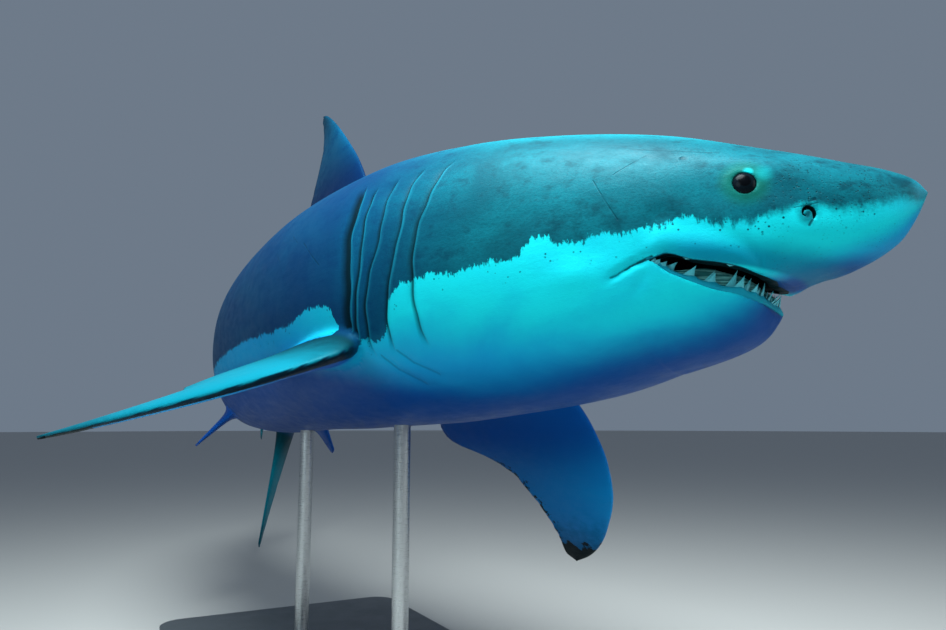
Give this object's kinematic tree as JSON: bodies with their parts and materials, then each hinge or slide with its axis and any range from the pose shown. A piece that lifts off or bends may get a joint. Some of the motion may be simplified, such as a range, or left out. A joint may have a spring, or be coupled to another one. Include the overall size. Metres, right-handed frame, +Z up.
{
  "type": "great white shark model on a display stand",
  "caption": "Life-size still model of a swimming great white shark, body curved and mouth slightly open, held by two rods on a flat display base.",
  "frame": {"origin": "centre of the underside of the stand's base, on the floor", "axes": "+Z up; +X towards the head along the base's length, which is also the model's longest side; +Y to the shark's left"},
  "size_m": [4.0857, 1.8614, 1.9936],
  "materials": {
    "skin": "satin shark skin, slate grey above and off-white below",
    "teeth": "ivory, glossy",
    "gums": "moist grey-green gum and dark mouth lining",
    "eye": "black, polished",
    "stand_base": "dark satin powder coat",
    "stand_steel": "brushed"
  },
  "bodies": {
    "root": {"head": "skin", "lower_jaw": "skin", "gill_region": "skin", "trunk_front": "skin", "trunk_middle": "skin", "trunk_rear": "skin", "tail_front": "skin", "tail_stem": "skin", "first_dorsal_fin": "skin", "second_dorsal_fin": "skin", "anal_fin": "skin", "pectoral_fin_right": "skin", "pectoral_fin_left": "skin", "pelvic_fin_right": "skin", "pelvic_fin_left": "skin", "caudal_upper_lobe": "skin", "caudal_lower_lobe": "skin", "eye_right": "eye", "eye_left": "eye", "stand_base": "stand_base", "stand_flange_front": "stand_steel", "stand_flange_rear": "stand_steel", "stand_rod_front": "stand_steel", "stand_rod_rear": "stand_steel"}
  },
  "joints": []
}
